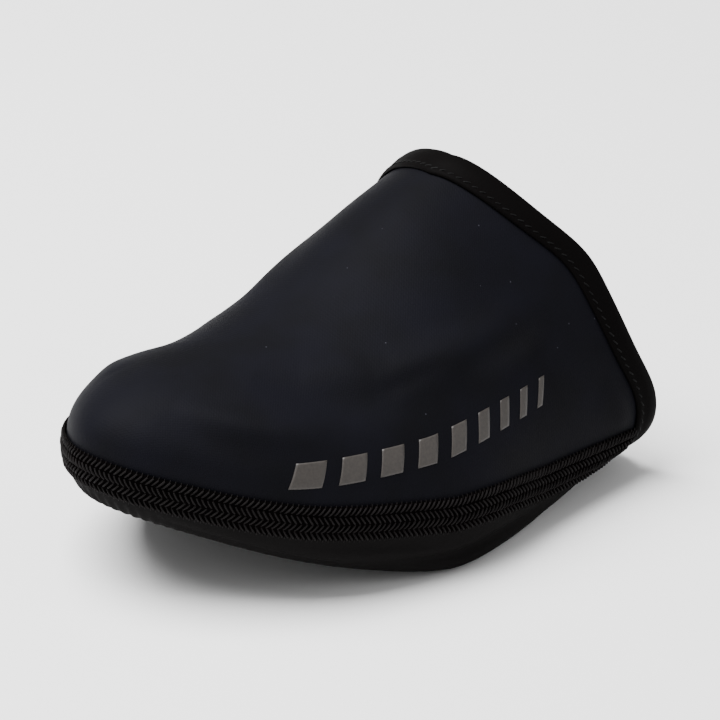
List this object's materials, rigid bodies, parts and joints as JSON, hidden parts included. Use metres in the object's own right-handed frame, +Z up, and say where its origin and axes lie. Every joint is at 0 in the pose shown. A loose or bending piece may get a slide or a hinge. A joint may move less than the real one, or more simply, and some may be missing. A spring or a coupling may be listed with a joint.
{
  "type": "cycling toe cover",
  "caption": "Stretch toe cover for a left road cycling shoe: foam shell, rand and sole panel with a cleat opening, flat seam and bound collar.",
  "frame": {"origin": "middle of the cover's plan, on the floor that it stands on", "axes": "+X from the toe back to the heel end, +Y to the big-toe side, +Z up"},
  "size_m": [0.1542, 0.0974, 0.082],
  "materials": {
    "foam_knit": "fine smooth knit laminated on closed-cell foam, soft sheen",
    "coated_fabric": "stretch fabric with a dull rubbery coating",
    "seam_thread": "spun thread, matt",
    "binding_tape": "smooth folded elastic tape, faint sheen"
  },
  "bodies": {
    "root": {"upper": "foam_knit", "sole_panel": "coated_fabric", "flatlock_seam": "seam_thread", "collar_binding": "binding_tape"}
  },
  "joints": []
}
